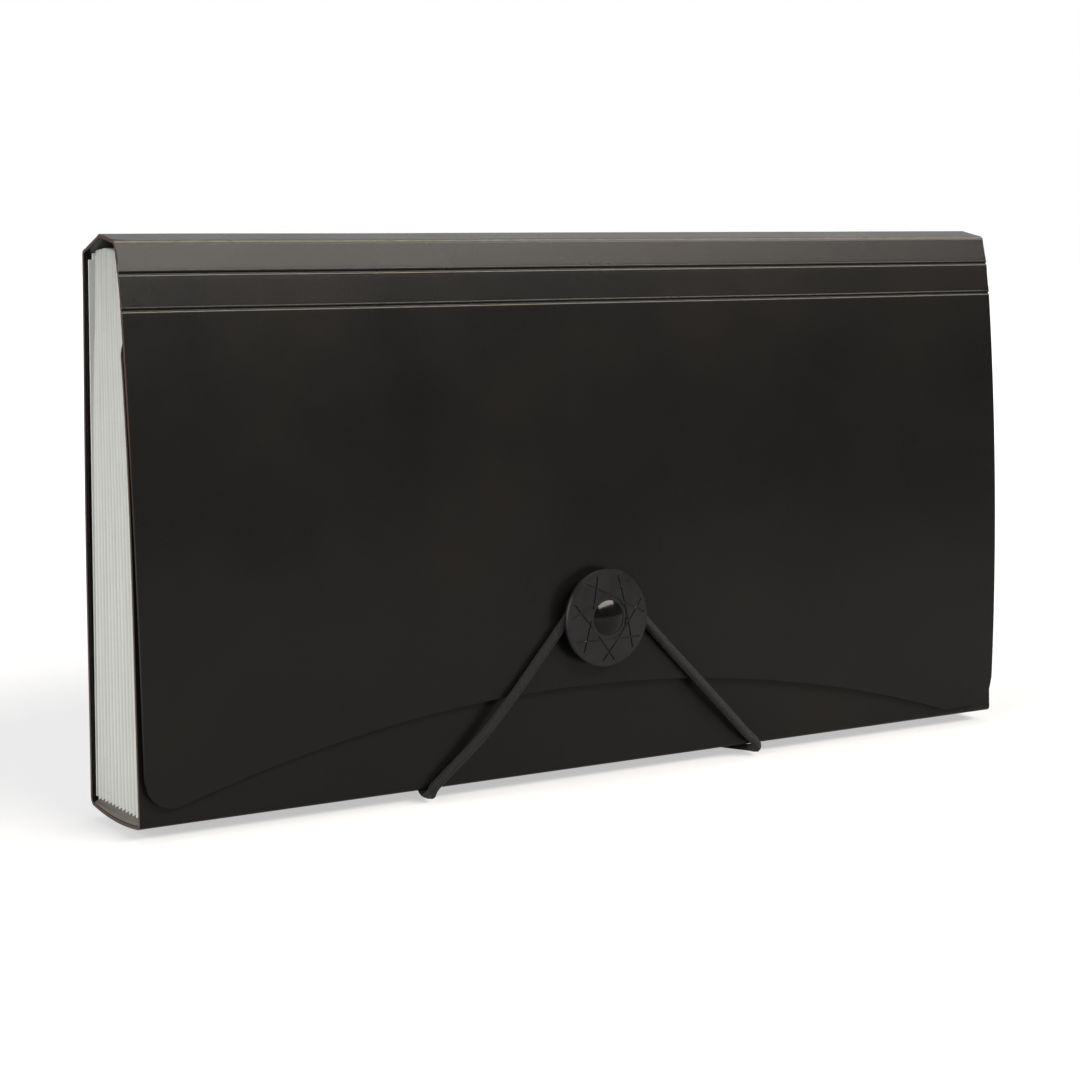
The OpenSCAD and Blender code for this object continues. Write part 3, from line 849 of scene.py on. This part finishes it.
@dataclass
class Cover:
    """Builds the cover from its sheet and lays each stretch on its body."""

    sheet: CoverSheet
    folds: Folds
    finish: Material
    # Painted highlights along the front fold and the creases, partly the bent sheet's whitening.
    front_fold_highlight: tuple = (0.0, 0.26 * MM, 0.6)
    crease_highlight: tuple = (0.43 * MM, 0.11 * MM, 0.6)

    def piece(self, name: str, bm: Shape, bodies: Sequence[str], node: str = "",
              ends: Sequence[Point] = ()) -> None:
        """Finishes a stretch of the cover.

        Args:
            name: The piece's name.
            bm: Its shape.
            bodies: The body it rides on, or the two that a fold joins.
            node: The solid that it stands for.
            ends: Start and end of a fold.
        """
        for v in bm.verts:
            v.co.z += self.sheet.wave_at(v.co.x, v.co.z)
        piece = as_object(name, bm, self.finish, smooth=20)
        if ends:
            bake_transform(piece)
        else:
            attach(piece, bodies[0])
        if node:
            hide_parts(node)
        LOG.info("cover piece %s", name)

    def fold(self, name: str, places: tuple[Vector, Vector, Vector], half: float,
             bodies: tuple[str, str], pale: tuple = (), crease: bool = False) -> None:
        """Makes the strip that crosses a fold.

        Args:
            name: The piece's name.
            places: A place on the stretch before the fold, the fold, and one after it.
            half: How far the strip reaches to each side.
            bodies: The bodies of the two stretches.
            pale: The painted highlight line, as (distance past the fold, half width, strength).
            crease: Whether a groove is pressed along it.
        """
        line = self.sheet.bend(*places, half)
        bm = self.sheet.strip(line[::-1], crease, pale=pale)
        self.piece(name, bm, bodies, ends=(line[0], line[-1]))

    def panel(self, name: str, ends: tuple[Vector, Vector], gaps: Point, body: str,
              node: str) -> None:
        """Makes the flat stretch between two folds.

        Args:
            name: The piece's name.
            ends: The two folds.
            gaps: How far it stays from each.
            body: The body it rides on.
            node: The solid that it stands for.
        """
        line = self.sheet.between(*ends, *gaps, self.sheet.panel_steps)
        self.piece(name, self.sheet.strip(line), (body,), node)

    def spine_line(self) -> list[Point]:
        """Draws the middle line from the back fold down the back and under the spine.

        Returns:
            Points as (depth, height).
        """
        s, f = self.sheet, self.folds
        half = s.thick / 2
        centre, bow_r = s.bow()
        corner_y = s.back_y - s.corner_r
        dy = corner_y - centre.x
        rise = math.sqrt((bow_r - s.corner_r) ** 2 - dy * dy)
        corner = Vector((corner_y, centre.y - rise))
        turn = math.atan2(dy, rise)
        top = f.back.y - s.bend_half
        line = []
        for t in (i / s.back_steps for i in range(s.back_steps + 1)):
            y = s.back_y - half + s.back_bulge * math.sin(math.pi * t) ** 2
            line.append((y, top + (corner.y - top) * t))
        foot = f.foot - centre
        start = 1.5 * math.pi + turn
        end = math.atan2(foot.y, foot.x) % (2 * math.pi) + s.foot_half / bow_r
        for mid, radius, a0, a1, steps in (
            (corner, s.corner_r - half, 2 * math.pi, start, s.corner_steps),
            (centre, bow_r - half, start, end, s.bow_steps),
        ):
            for i in range(1, steps + 1):
                a = a0 + (a1 - a0) * i / steps
                line.append(tuple(mid + radius * Vector((math.cos(a), math.sin(a)))))
        return line

    def cut_holes(self, piece: bpy.types.Object) -> None:
        """Drills the elastic's two holes through the spine.

        Args:
            piece: The back and spine.
        """
        s = self.sheet
        bm = bmesh.new()
        for x in s.hole_x:
            bmesh.ops.create_cone(
                bm, cap_ends=True, segments=32, radius1=s.hole_d / 2, radius2=s.hole_d / 2,
                depth=s.hole_deep,
                matrix=Matrix.Translation((x, s.hole_y, s.bow_low + s.hole_up)),
            )
        mesh = bpy.data.meshes.new("drill")
        bm.to_mesh(mesh)
        bm.free()
        drill = bpy.data.objects.new("drill", mesh)
        bpy.context.scene.collection.objects.link(drill)
        cut = piece.modifiers.new("holes", "BOOLEAN")
        cut.operation, cut.solver, cut.object = "DIFFERENCE", "EXACT", drill
        shape = bpy.context.evaluated_depsgraph_get()
        done = bpy.data.meshes.new_from_object(piece.evaluated_get(shape))
        piece.modifiers.clear()
        piece.data = done
        bpy.data.objects.remove(drill)

    def build(self) -> None:
        """Builds every stretch of the cover in order, from the spine to the flap."""
        s, f = self.sheet, self.folds
        line = self.spine_line()
        spine = as_object("cover_back_and_spine", s.strip(line), self.finish, smooth=20)
        self.cut_holes(spine)
        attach(spine, "root")
        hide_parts("back_cover", "spine_panel")

        bend, crease = s.bend_half, s.crease_half
        down = f.back - Vector((0, 1))
        under = s.flap_line(f.crease_2)[s.flap_lead]
        stops = (down, f.back, f.ridge, f.front, f.crease_1, f.crease_2, under)
        reaches = (bend, bend, bend, crease, crease)
        bodies = ("root", "roof_bevel_body", "roof_body", "band_upper_body", "band_lower_body",
                  "flap_body")
        # Painted highlights along the front fold and the two creases.
        highlights = ((), (), self.front_fold_highlight, self.crease_highlight, self.crease_highlight)
        panels = (("roof_bevel", "roof_bevel"), ("roof", "roof_panel"),
                  ("band_upper", "band_upper"), ("band_lower", "band_lower"), ())
        for i, name in enumerate(("back", "ridge", "front", "crease_1", "crease_2")):
            self.fold(f"fold_{name}", stops[i : i + 3], reaches[i], bodies[i : i + 2], highlights[i],
                      crease=reaches[i] == crease)
            if panels[i]:
                piece, node = panels[i]
                line_ends = stops[i + 1 : i + 3]
                self.panel(f"cover_{piece}", line_ends, reaches[i : i + 2], bodies[i + 1], node)
        start = f.crease_2 + (under - f.crease_2).normalized() * crease
        self.piece("cover_flap", s.flap(start), ("flap_body",), "flap_panel")

        inner = f.crease_2.x + s.front_in
        lean = Vector((inner - f.foot.x, f.crease_2.y - f.foot.y)).normalized()
        up = f.foot + lean * ((s.front_top - f.foot.y) / lean.y)
        front = s.strip(s.between(up, f.foot, 0, s.foot_half, s.front_steps), top_free=True)
        s.shape_front(front)
        self.piece("cover_front", front, ("front_body",), "front_cover")
        ends = (f.foot + lean, f.foot, Vector(line[-1]))
        self.fold("fold_foot", ends, s.foot_half, ("front_body", "root"))


# ---- the pleated gussets


@dataclass
class Gusset:
    """The pleated film at one end, one pleat for each pocket."""

    side: Side
    finish: Material
    sheet: CoverSheet
    pockets: int = 13
    fold_steps: int = 14
    slices: int = 30
    tip: float = 124.65 * MM
    depth: float = 7.5 * MM
    film: float = 1.9 * MM
    back: float = 15.5532 * MM
    foot_z: float = 5.05 * MM
    hinge_z: float = 5.352 * MM
    top_z: float = 128.3 * MM
    top_line: tuple[Point, ...] = (
        (0.0, 1.7), (0.15, 2.2), (0.35, 2.7), (0.6, 2.3), (0.85, 1.5), (1.0, 0.9),
    )
    ragged: float = 0.25
    ragged_rate: Point = (61.0, 0.7)
    skirt: float = 0.75 * MM
    skirt_jag: float = 0.35
    skirt_rate: Point = (47.0, 3.3)
    skirt_reach: float = 7.9
    front_foot: Point = (-10.3268 * MM, 3.54356 * MM)
    slope: float = 0.064766
    insert_in: float = 0.92 * MM
    waver: float = 0.22 * MM
    waver_rate: Place = (31.0, 17.0, 3.1)
    tuck: float = 0.5 * MM
    spread: float = 0.4 * MM
    # The lip_ values place a grey-brown strip on the spine's inner face: painted light for the lit
    # inside of the black sheet.
    lip_x: float = 124.68 * MM
    lip_w: float = 2.2 * MM
    lip_gap: float = 0.1 * MM
    lip_edge: float = 0.12 * MM
    lip_z: float = 4 * MM
    lip_ends: Point = (0.15 * MM, 0.7 * MM)
    lip_steps: int = 24

    def front(self, z: float) -> float:
        """Depth of the insert's front sheet at a height."""
        lean = math.sqrt(1 + self.slope ** 2)
        return self.front_foot[0] + (z - self.front_foot[1]) * self.slope + self.insert_in * lean

    def at(self, share: float, z: float) -> float:
        """Depth of a place between the back sheet (0) and the front sheet (1)."""
        return self.back + (self.front(z) - self.back) * share

    def wander(self, a: float, b: float, c: float = 1.0) -> float:
        """A slow wandering value that differs between the two ends."""
        return noise.noise(Vector((a, b, self.side.value * c)))

    def top_at(self, share: float) -> float:
        """Height of the ragged top edge, which follows the roof above it.

        Args:
            share: Place between the back sheet (0) and the front sheet (1).

        Returns:
            The height.
        """
        pairs = zip(self.top_line, self.top_line[1:])
        (a, low), (b, high) = next(pair for pair in pairs if share <= pair[1][0] or pair[1][0] == 1)
        rise = low + (high - low) * min(max((share - a) / (b - a), 0.0), 1.0)
        rate, seed = self.ragged_rate
        return self.top_z + (rise + self.ragged * self.wander(share * rate, seed)) * MM

    def pleat(self, k: int) -> Shape:
        """Makes the pleat between two dividers.

        Args:
            k: The pocket's number, from 1 at the back.

        Returns:
            A closed V of film.
        """
        steps = [i / self.fold_steps for i in range(self.fold_steps + 1)]
        crest = self.tip + self.film / 2
        outer = [(crest - self.depth * (0.5 - 0.5 * math.cos(2 * math.pi * u)), u) for u in steps]
        inner = [(x - self.film, u) for x, u in outer]
        bm = prism([(x, u, 0.0) for x, u in outer + inner[::-1]], (0, 0, 1), self.slices)
        rate, seed = self.skirt_rate
        over, up, end = self.waver_rate
        for v in bm.verts:
            x, u, w = v.co
            share = (k - 1 + u) / self.pockets
            into = (crest - x) / self.depth
            jag = 1.0 + self.skirt_jag * self.wander(share * rate, seed)
            low = self.foot_z - self.skirt * jag * math.sqrt(max(1 - into * self.skirt_reach, 0.0))
            z = low + (self.top_at(share) - low) * w
            drift = self.wander(share * over, z * up, end)
            x += self.waver * drift * math.sin(math.pi * u)
            x -= self.tuck * (1 + drift) * (1 - into) * w ** 6
            y = self.at(share, z) + self.spread * (1 - share) * w ** 8
            v.co = Vector((self.side.value * x, y - self.sheet.swell_at(z) * share, z))
        return bm

    def lay_painted_light_strip(self, lip: Material) -> None:
        """Makes a grey-brown strip that slopes down to the spine's edge under the pleats: painted
        light for the lit inner face of the black sheet.

        Args:
            lip: Its material, whose colour is the painted light.
        """
        centre, bow_r = self.sheet.bow()
        reach = bow_r - self.sheet.thick - self.lip_gap

        def floor_at(y: float) -> float:
            """Height of the spine's inner face at a depth."""
            return centre.y - math.sqrt(reach ** 2 - (y - centre.x) ** 2)

        first, last = self.front(self.lip_z) - self.lip_ends[0], self.back - self.lip_ends[1]
        depths = [first + (last - first) * i / self.lip_steps for i in range(self.lip_steps + 1)]
        outline = [(y, floor_at(y)) for y in depths] + [(last, self.foot_z), (first, self.foot_z)]
        bm = prism([(self.lip_x, y, z) for y, z in outline], (self.lip_w, 0, 0), 1)
        for v in bm.verts:
            if v.co.x > self.lip_x + self.lip_w / 2:
                v.co.z = min(v.co.z, floor_at(v.co.y) + self.lip_edge)
            v.co.x *= self.side.value
        piece = as_object(f"base_end_{self.side.name.lower()}", bm, lip)
        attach(piece, "root")

    def build(self) -> None:
        """Builds the pleats, each between two dividers."""
        end_name = self.side.name.lower()
        pitch = (self.back - self.front(self.hinge_z)) / self.pockets
        for k in range(1, self.pockets + 1):
            piece = as_object(f"pleat_{end_name}_{k:02d}", self.pleat(k), self.finish, smooth=70)
            hinge = self.at(k / self.pockets, self.hinge_z)
            lean = (self.at(k / self.pockets, self.top_z) - hinge) / (self.top_z - self.hinge_z)
            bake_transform(piece)
            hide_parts(f"gusset_{end_name}")
        LOG.info("gusset %s with %d pleats", self.side.name, self.pockets)


# ---- the elastic


@dataclass
class Elastic:
    """The round braided elastic, from one barb round the button to the other."""

    finish: Material
    diameter: float = 2.4 * MM
    sides: int = 24
    fine_steps: int = 16
    ring: float = 0.34 * MM
    plait: float = 2.1 * MM
    yarns: int = 8
    valley: float = 0.965
    weave: float = 0.06
    slack: float = 0.62
    split_z: float = 8.8 * MM
    flat_z: float = 1.1 * MM
    bend_start: Place = (0, -10.3 * MM, 1.8 * MM)
    bend_end: Place = (0, -12.1 * MM, 4.2 * MM)
    loop: tuple[Place, ...] = (
        (-52.5, -10.3, 1.8), (-52.5, -11.2, 2), (-52.5, -11.8, 2.7), (-52.3, -12.1, 3.6),
        (-50.5, -12.3, 5.4), (-46.5, -12.6, 8.8), (-42, -12.9, 12.6), (-37.7, -13.1, 16.6),
        (-33.7, -13.2, 20.8), (-29.2, -13.15, 25.6), (-24.6, -13, 30.8), (-20, -12.85, 36),
        (-16, -12.65, 40.4), (-13, -12.5, 43.8), (-10.8, -12.4, 46.1), (-8.3, -12.3, 48),
        (-5, -12.3, 48.7), (-1.9, -12.3, 48), (0.4, -12.4, 46.4), (3.6, -12.55, 43.4),
        (8, -12.75, 39), (13, -12.9, 34), (18, -13.05, 29), (23, -13.15, 24.1),
        (27.6, -13.2, 19.6), (32, -13, 15.3), (36.5, -12.8, 11), (38.7, -12.66, 8.8),
        (40.6, -12.5, 7), (43.6, -12.2, 4.5), (44.7, -11.9, 3.2), (45, -11.6, 2.4),
        (45, -10.9, 1.9), (45, -10.3, 1.8),
    )
    run: tuple[Point, ...] = (
        (-10.3, 1.8), (-9, 1.5), (-6.6, 1.2), (-3, 0.96), (1, 0.96), (5, 0.96), (8.9, 0.96),
        (10.2, 1.1), (10.8, 1.7), (10.9, 2.6), (10.9, 3.58),
    )
    left: tuple[float, ...] = (-52.5, -52.3, -51.5, -50, -48.5, -47, -45.5, -45, -45, -45, -45)
    right: tuple[float, ...] = (45, 44.8, 43.5, 41.5, 39.5, 37.5, 35.6, 35, 35, 35, 35)

    def curve(self, points: Iterable[Place], start: Place, end: Place) -> list[Vector]:
        """Runs a smooth curve through the route's points.

        Args:
            points: The route, in millimetres.
            start: Way in which the route starts.
            end: Way in which it ends.

        Returns:
            Points at even steps, in metres.
        """
        p = [Vector(q) * MM for q in points]
        before = p[0] - Vector(start) * (p[1] - p[0]).length
        p = [before, *p, p[-1] + Vector(end) * (p[-1] - p[-2]).length]
        fine = []
        for a, b, c, d in zip(p, p[1:], p[2:], p[3:]):
            for t in (i / self.fine_steps for i in range(self.fine_steps)):
                square, cube = (2 * a - 5 * b + 4 * c - d) * t * t, (3 * b - a - 3 * c + d) * t ** 3
                fine.append(0.5 * (2 * b + (c - a) * t + square + cube))
        fine.append(p[-2])
        far = [0.0]
        for a, b in zip(fine, fine[1:]):
            far.append(far[-1] + (b - a).length)
        count = int(far[-1] / self.ring)
        even, j = [], 0
        for i in range(count + 1):
            goal = far[-1] * i / count
            while j < len(far) - 2 and far[j + 1] < goal:
                j += 1
            even.append(fine[j].lerp(fine[j + 1], (goal - far[j]) / (far[j + 1] - far[j])))
        return even

    def frames(self, line: list[Vector], first: Place, last: Place) -> list[tuple[Vector, Vector]]:
        """Carries a way square to the cord along its line.

        Args:
            line: Even points of the route.
            first: Way in which it starts.
            last: Way in which it ends.

        Returns:
            Two ways across the cord at each point.
        """
        runs = [(b - a).normalized() for a, b in zip(line, line[2:])]
        u, out = Vector((1, 0, 0)), []
        for run in (Vector(first), *runs, Vector(last)):
            u = (u - run * u.dot(run)).normalized()
            out.append((u, run.cross(u)))
        return out

    def tube(self, name: str, line: list[Vector], first: Place, last: Place,
             flat: bool = True) -> bpy.types.Object:
        """Makes a braided tube along a line.

        Args:
            name: The piece's name.
            line: Even points of the route.
            first: Way in which it starts.
            last: Way in which it ends.
            flat: Whether it is pressed flat where it lies on the ground.

        Returns:
            The tube.
        """
        frames, top = self.frames(line, first, last), len(line) - 1
        turns = [2 * math.pi * k / self.sides for k in range(self.sides)]
        bm = prism([(math.cos(a), math.sin(a), 0) for a in turns], (0, 0, top), top)
        layer = bm.loops.layers.uv.new("UVMap")
        spots = {
            v: (round(math.atan2(v.co.y, v.co.x) / turns[1]) % self.sides, round(v.co.z))
            for v in bm.verts
        }
        for face in bm.faces:
            seam = max(spots[v][0] for v in face.verts) == self.sides - 1
            for loop in face.loops:
                k, i = spots[loop.vert]
                across = self.sides if seam and k == 0 else k
                along = i * self.ring / self.plait * self.yarns
                loop[layer].uv = (across / self.sides, along)
        for v, (k, i) in spots.items():
            cross, shift = 4 * turns[k], math.pi * i * self.ring / self.plait
            weave = abs(math.sin(cross + shift)) * abs(math.sin(cross - shift))
            r = self.diameter / 2 * (self.valley + self.weave * weave)
            u, w = frames[i]
            v.co = line[i] + r * (math.cos(turns[k]) * u + math.sin(turns[k]) * w)
            if flat:
                v.co.z = max(v.co.z, self.flat_z)
        return as_object(name, bm, self.finish, smooth=75)

    def build(self) -> None:
        """Builds the loop, the two bends at the foot and the two runs under the spine."""
        whole = self.curve(self.loop, (0, -1, 0), (0, 1, 0))
        above = [p.z > self.split_z for p in whole]
        a, b = above.index(True), len(above) - above[::-1].index(True)

        def way(i: int) -> Vector:
            """Way of the route at one of its points."""
            return (whole[i + 1] - whole[i - 1]).normalized()

        loop = self.tube("elastic_loop_braid", whole[a : b + 1], way(a), way(b), flat=False)
        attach(loop, "front_body")
        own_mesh(loop)
        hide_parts("elastic_loop")
        bends = (
            ("left", whole[: a + 1], (0, -1, 0), way(a)),
            ("right", whole[b:], way(b), (0, 1, 0)),
        )
        for name, line, first, last in bends:
            bend = self.tube(f"elastic_bend_{name}", line, first, last)
            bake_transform(bend)
        for name, route in (("left", self.left), ("right", self.right)):
            points = [(x, y, z) for x, (y, z) in zip(route, self.run)]
            line = self.curve(points, (0, 1, 0), (0, 0, 1))
            run = self.tube(f"elastic_run_{name}_braid", line, (0, 1, 0), (0, 0, 1))
            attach(run, "root")
            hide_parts(f"elastic_run_{name}")
        LOG.info("elastic of %d rings", len(whole))


# ---- what keeps its own solid


@dataclass
class PlainParts:
    """Gives the solids that keep their own shape their finishes."""

    grain: Tree
    cut_edge: Tree

    def dress(self, nodes: Iterable[str], material: Material) -> None:
        """Puts a material on each named solid.

        Args:
            nodes: The solids' names.
            material: What they are made of.
        """
        for name in nodes:
            mesh = frame["nodes"][name].data
            mesh.materials.clear()
            mesh.materials.append(material)
            LOG.info("solid %s in %s", name, material.name)

    def build(self) -> None:
        """Dresses the button, rivet, washer, barbs, insert and labels."""
        button = MouldedFinish("satin_button", "171718", "1d1d1e", (0.26, 0.36), specular=0.3)
        rivet = MouldedFinish("polished_rivet", "060606", "0a0a0a", (0.1, 0.2),
                              relief=0.002 * MM, specular=0.25)
        washer = MouldedFinish("natural_washer", "d3d5d2", "c6c8c5", (0.41, 0.51))
        insert = SheetFinish("milky_sheet", "d6d8d5", "cccec9", (0.37, 0.43), grain=1800.0,
                             specular=0.4, alpha=0.93, cut="e3e4e0", cut_edge=self.cut_edge)
        numbers = [f"{k:02d}" for k in range(1, 13)]
        dividers = [f"divider_{k}" for k in numbers]
        barbs = ("elastic_barb_left", "elastic_barb_right")
        sheets = ("insert_back", "insert_front", "pocket_base", *dividers)
        self.dress(("button_disc",), button.build(self.grain))
        self.dress(("rivet_cap", "rivet_stud"), rivet.build(self.grain))
        self.dress(("backing_washer",), washer.build(self.grain))
        self.dress(barbs, SteelFinish("plated_barb").build())
        self.dress(sheets, insert.build(self.grain))
        labels = [f"tab_label_{k}" for k in numbers]
        self.dress(labels, PaperFinish("label_paper").build(self.grain))


# ---- the studio


@dataclass(frozen=True)
class SoftBox:
    """A lamp with a rectangular face, aimed at the wallet's middle."""

    name: str
    place: Place
    size: Point
    power: float
    colour: Place = (1.0, 1.0, 1.0)
    aim: Place = (0, 0, 60 * MM)

    def hang(self) -> None:
        """Makes the lamp and aims it."""
        data = bpy.data.lights.new(self.name, "AREA")
        data.shape = "RECTANGLE"
        data.size, data.size_y = self.size
        data.energy, data.color = self.power, self.colour
        lamp = bpy.data.objects.new(self.name, data)
        lamp.visible_camera = False
        turn = (Vector(self.aim) - Vector(self.place)).to_track_quat("-Z", "Y")
        lamp.matrix_world = Matrix.Translation(self.place) @ turn.to_matrix().to_4x4()
        bpy.context.scene.collection.objects.link(lamp)


@dataclass
class Studio:
    """Floor, world, lamps and camera."""

    azimuth: float = -33.038
    elevation: float = 8.192
    roll: float = 0.5925
    target: Place = (-13.10 * MM, 2.87 * MM, 58.68 * MM)
    distance: float = 618.4 * MM
    lens: float = 83.173
    sensor: float = 36.0
    dim: float = 0.16
    floor_base: float = 0.5
    floor_half: float = 3.0
    glow: tuple[float, float, float, float] = (0.16, 0.5, 0.5, 1.1)
    lamps: tuple[SoftBox, ...] = (
        SoftBox("key", (0.44, -0.865, 0.765), (1.2, 0.35), 17.0, (1.0, 0.93, 0.86)),
        SoftBox("rear", (0.95, 1.2, 0.75), (1.2, 0.7), 1.8, (1.0, 0.97, 0.93)),
        SoftBox("fill", (-1.3, -0.35, 0.45), (0.9, 0.9), 16.0),
        SoftBox("top", (0.0, 0.1, 1.5), (1.0, 0.6), 6.0),
    )

    def camera(self) -> None:
        """Places the camera at the photograph's angle."""
        a, e, r = (math.radians(v) for v in (self.azimuth, self.elevation, self.roll))
        back = Vector((math.sin(a) * math.cos(e), -math.cos(a) * math.cos(e), math.sin(e)))
        level = Vector((math.cos(a), math.sin(a), 0))
        upright = level.cross(-back)
        right = math.cos(r) * level + math.sin(r) * upright
        up = -math.sin(r) * level + math.cos(r) * upright
        turn = Matrix((right, up, back)).transposed().to_4x4()
        data = bpy.data.cameras.new("camera")
        data.lens, data.sensor_width, data.sensor_fit = self.lens, self.sensor, "HORIZONTAL"
        data.clip_start, data.clip_end = 0.01, 20.0
        camera = bpy.data.objects.new("camera", data)
        place = Vector(self.target) + back * self.distance
        camera.matrix_world = Matrix.Translation(place) @ turn
        bpy.context.scene.collection.objects.link(camera)
        bpy.context.scene.camera = camera

    def world(self) -> None:
        """Makes the world dim for light and white for the camera."""
        world = bpy.data.worlds.new("studio")
        bpy.context.scene.world = world
        world.use_nodes = True
        n = Nodes(world.node_tree)
        rays = n.add("ShaderNodeLightPath").outputs
        seen = n.math("MAXIMUM", rays["Is Camera Ray"], rays["Is Transmission Ray"])
        base = world.node_tree.nodes["Background"].inputs
        n.feed(base["Color"], (1.0, 1.0, 1.0))
        n.feed(base["Strength"], n.span(seen, 0.0, 1.0, self.dim, 1.0))

    def floor(self) -> None:
        """Lays the pale floor, white to the camera but for the shadow."""
        bm = bmesh.new()
        bmesh.ops.create_grid(bm, x_segments=1, y_segments=1, size=self.floor_half)
        p = Paint("pale_floor")
        seen = p.add("ShaderNodeLightPath").outputs["Is Camera Ray"]
        length = p.add("ShaderNodeVectorMath", {0: p.coords()}, operation="LENGTH")
        glow = p.span(length.outputs["Value"], *self.glow)
        p.give({
            "Base Color": (self.floor_base,) * 3,
            "Roughness": 0.9,
            "Specular IOR Level": 0.1,
            "Emission Color": (1.0, 1.0, 1.0),
            "Emission Strength": p.math("MULTIPLY", seen, glow),
        })
        as_object("floor", bm, p.material)

    def build(self) -> None:
        """Sets up the whole studio."""
        self.camera()
        self.world()
        self.floor()
        for lamp in self.lamps:
            lamp.hang()
        bpy.context.scene.view_settings.view_transform = "Standard"
        LOG.info("studio with %d lamps", len(self.lamps))


def main() -> None:
    """Builds the wallet's looks round its frame."""
    grain, cut_edge, braid = grain_group(), cut_edge_group(), braid_group()
    Studio().build()
    sheet = CoverSheet()
    black = SheetFinish("black_sheet", cut_edge=cut_edge).build(grain)
    Cover(sheet, Folds(*map(fold_at, FOLD_JOINTS)), black).build()
    film = FilmFinish("pleated_film").build(grain)
    # The grey-brown strip under each gusset is painted light: the lit inner face of the black
    # spine.
    lip = SheetFinish("base_lip", "6a655c", "5d584f", specular=0.3, cut="6a655c",
                      cut_edge=cut_edge).build(grain)
    for side in Side:
        gusset = Gusset(side, film, sheet)
        gusset.build()
        gusset.lay_painted_light_strip(lip)
    Elastic(BraidFinish("braided_elastic").build(braid)).build()
    PlainParts(grain, cut_edge).build()


if __name__ == "__main__":
    logging.basicConfig(level=logging.INFO)
    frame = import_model()
    main()
